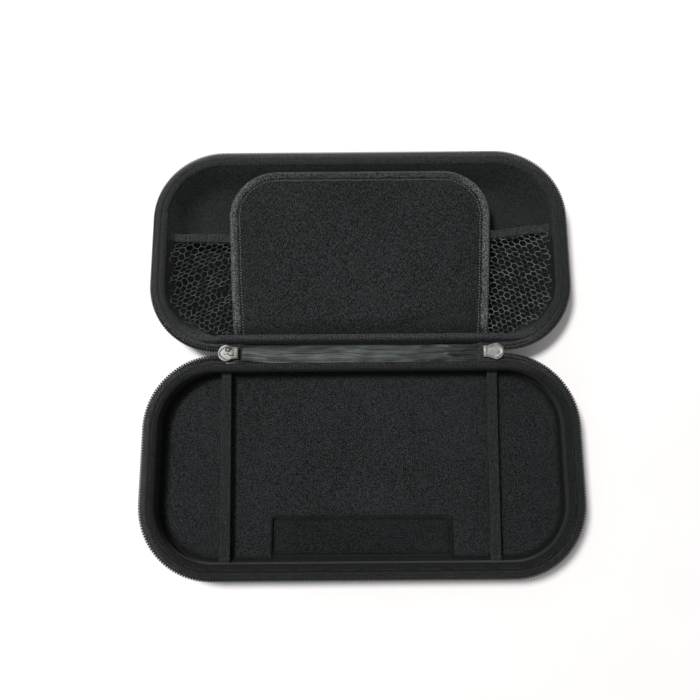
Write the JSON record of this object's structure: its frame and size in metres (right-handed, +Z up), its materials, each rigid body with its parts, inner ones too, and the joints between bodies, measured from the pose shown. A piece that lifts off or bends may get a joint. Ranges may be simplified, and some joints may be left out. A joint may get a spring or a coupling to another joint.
{
  "type": "portable game console case",
  "caption": "Zipped moulded clamshell case for a handheld game console, lying open, with a padded flap, a net pocket, elastic straps and a fabric hinge.",
  "frame": {"origin": "on the table under the middle of the hinge strip", "axes": "+X along the hinge, +Y from the base half to the lid half, +Z up"},
  "size_m": [0.27, 0.273, 0.0245],
  "materials": {
    "shell_fabric": "black polyester cloth laminated on moulded foam",
    "liner_fabric": "black brushed lining cloth",
    "binding_fabric": "ribbed black binding tape",
    "zip_tape": "woven black zip tape",
    "zip_coil": "black nylon coil teeth",
    "elastic": "ribbed black elastic",
    "net": "black knitted net",
    "flap_fabric": "black ribbed knit over a thin pad",
    "strip_nylon": "grey-green nylon",
    "slider_metal": "nickel-plated die casting, satin"
  },
  "bodies": {
    "base": {"base_shell": "shell_fabric", "base_tray": "liner_fabric", "base_binding": "binding_fabric", "base_zip_tape": "zip_tape", "base_zip_coil": "zip_coil", "strap_left": "elastic", "strap_right": "elastic"},
    "spine": {"hinge_strip": "strip_nylon", "zip_chain_left": "zip_tape", "zip_chain_right": "zip_tape", "slider_left": "slider_metal", "slider_right": "slider_metal"},
    "lid": {"lid_shell": "shell_fabric", "lid_binding": "binding_fabric", "lid_zip_tape": "zip_tape", "lid_zip_coil": "zip_coil", "mesh_pocket": "net", "mesh_elastic": "elastic"},
    "flap": {"flap_panel": "flap_fabric", "flap_binding": "binding_fabric"},
    "pull_left": {"pull_left": "slider_metal"},
    "pull_right": {"pull_right": "slider_metal"}
  },
  "joints": [
    {"name": "spine_fold", "type": "hinge", "parent": "base", "child": "spine", "pos_m": [0, -0.0065, 0.02], "axis": [1, 0, 0], "range_deg": [0, 90], "deforming": ["hinge_strip"]},
    {"name": "lid_fold", "type": "hinge", "parent": "spine", "child": "lid", "pos_m": [0, 0.0065, 0.02], "axis": [1, 0, 0], "range_deg": [0, 90]},
    {"name": "flap_turn", "type": "hinge", "parent": "lid", "child": "flap", "pos_m": [0, 0.01115, 0.0206], "axis": [1, 0, 0], "range_deg": [0, 180]},
    {"name": "pull_left_swing", "type": "hinge", "parent": "spine", "child": "pull_left", "pos_m": [-0.0833, 0, 0.0144], "axis": [0, 1, 0], "range_deg": [-80, 80]},
    {"name": "pull_right_swing", "type": "hinge", "parent": "spine", "child": "pull_right", "pos_m": [0.0833, 0, 0.0144], "axis": [0, 1, 0], "range_deg": [-80, 80]}
  ],
  "couplings": [
    {"joint": "spine_fold", "follows": "lid_fold", "ratio": 1}
  ]
}
